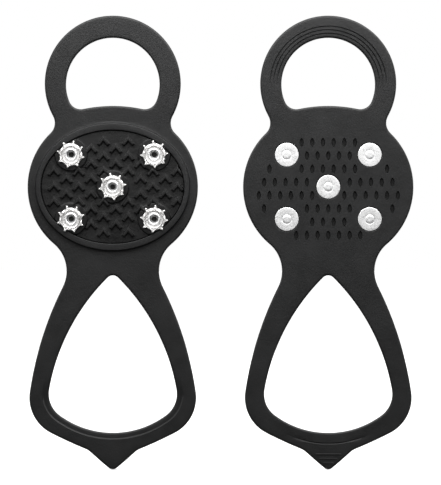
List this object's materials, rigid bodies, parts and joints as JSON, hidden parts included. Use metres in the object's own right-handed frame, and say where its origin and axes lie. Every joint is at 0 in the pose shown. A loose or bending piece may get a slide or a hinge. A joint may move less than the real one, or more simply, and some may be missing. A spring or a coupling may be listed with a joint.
{
  "type": "shoe ice cleats",
  "caption": "Pair of slip-on rubber ice cleats: toe loop, oval sole plate with tread pad and riveted star studs, and heel loop with pull tab.",
  "frame": {"origin": "centre of the left cleat's flat sole face, which bears on the shoe", "axes": "+Y out of the left cleat's sole face towards the shoe, +Z towards the toe loops, +X across the foot from the left cleat to the right one"},
  "size_m": [0.2184, 0.0172, 0.2569],
  "materials": {
    "body_rubber": "satin moulded elastomer, dark grey",
    "tread_rubber": "slightly glossy black moulded elastomer",
    "crown_steel": "bright stamped zinc-plated steel",
    "rivet_steel": "bright zinc-plated steel"
  },
  "bodies": {
    "left_sole": {"left_sole_plate": "body_rubber", "left_tread_pad": "tread_rubber", "left_crown_centre": "crown_steel", "left_crown_toe_left": "crown_steel", "left_crown_toe_right": "crown_steel", "left_crown_heel_left": "crown_steel", "left_crown_heel_right": "crown_steel", "left_rivet_centre": "rivet_steel", "left_rivet_toe_left": "rivet_steel", "left_rivet_toe_right": "rivet_steel", "left_rivet_heel_left": "rivet_steel", "left_rivet_heel_right": "rivet_steel"},
    "left_toe": {"left_toe_loop": "body_rubber"},
    "left_arms": {"left_heel_arms": "body_rubber"},
    "left_band": {"left_heel_band": "body_rubber"},
    "left_tab": {"left_pull_tab": "body_rubber"},
    "right_sole": {"right_sole_plate": "body_rubber", "right_tread_pad": "tread_rubber", "right_crown_centre": "crown_steel", "right_crown_toe_left": "crown_steel", "right_crown_toe_right": "crown_steel", "right_crown_heel_left": "crown_steel", "right_crown_heel_right": "crown_steel", "right_rivet_centre": "rivet_steel", "right_rivet_toe_left": "rivet_steel", "right_rivet_toe_right": "rivet_steel", "right_rivet_heel_left": "rivet_steel", "right_rivet_heel_right": "rivet_steel"},
    "right_toe": {"right_toe_loop": "body_rubber"},
    "right_arms": {"right_heel_arms": "body_rubber"},
    "right_band": {"right_heel_band": "body_rubber"},
    "right_tab": {"right_pull_tab": "body_rubber"}
  },
  "joints": [
    {"name": "left_toe_fold", "type": "hinge", "parent": "left_sole", "child": "left_toe", "pos_m": [0, 0, 0.0405], "axis": [-1, 0, 0], "range_deg": [0, 110], "stiffness_Nm_per_rad": 0.08},
    {"name": "left_heel_fold", "type": "hinge", "parent": "left_sole", "child": "left_arms", "pos_m": [0, 0, -0.0455], "axis": [1, 0, 0], "range_deg": [0, 75], "stiffness_Nm_per_rad": 0.08},
    {"name": "left_band_curl", "type": "hinge", "parent": "left_arms", "child": "left_band", "pos_m": [0, 0, -0.111], "axis": [1, 0, 0], "range_deg": [0, 60], "stiffness_Nm_per_rad": 0.05},
    {"name": "left_tab_flex", "type": "hinge", "parent": "left_band", "child": "left_tab", "pos_m": [0, -0.0036, -0.15], "axis": [-1, 0, 0], "range_deg": [0, 60], "stiffness_Nm_per_rad": 0.01},
    {"name": "right_toe_fold", "type": "hinge", "parent": "right_sole", "child": "right_toe", "pos_m": [0.122, -0.0036, 0.0405], "axis": [1, 0, 0], "range_deg": [0, 110], "stiffness_Nm_per_rad": 0.08},
    {"name": "right_heel_fold", "type": "hinge", "parent": "right_sole", "child": "right_arms", "pos_m": [0.122, -0.0036, -0.0455], "axis": [-1, 0, 0], "range_deg": [0, 75], "stiffness_Nm_per_rad": 0.08},
    {"name": "right_band_curl", "type": "hinge", "parent": "right_arms", "child": "right_band", "pos_m": [0.122, -0.0036, -0.111], "axis": [-1, 0, 0], "range_deg": [0, 60], "stiffness_Nm_per_rad": 0.05},
    {"name": "right_tab_flex", "type": "hinge", "parent": "right_band", "child": "right_tab", "pos_m": [0.122, 0, -0.15], "axis": [1, 0, 0], "range_deg": [0, 60], "stiffness_Nm_per_rad": 0.01},
    {"name": "pair_spread", "type": "slide", "parent": "left_sole", "child": "right_sole", "axis": [1, 0, 0], "range_m": [0, 0.1]}
  ]
}
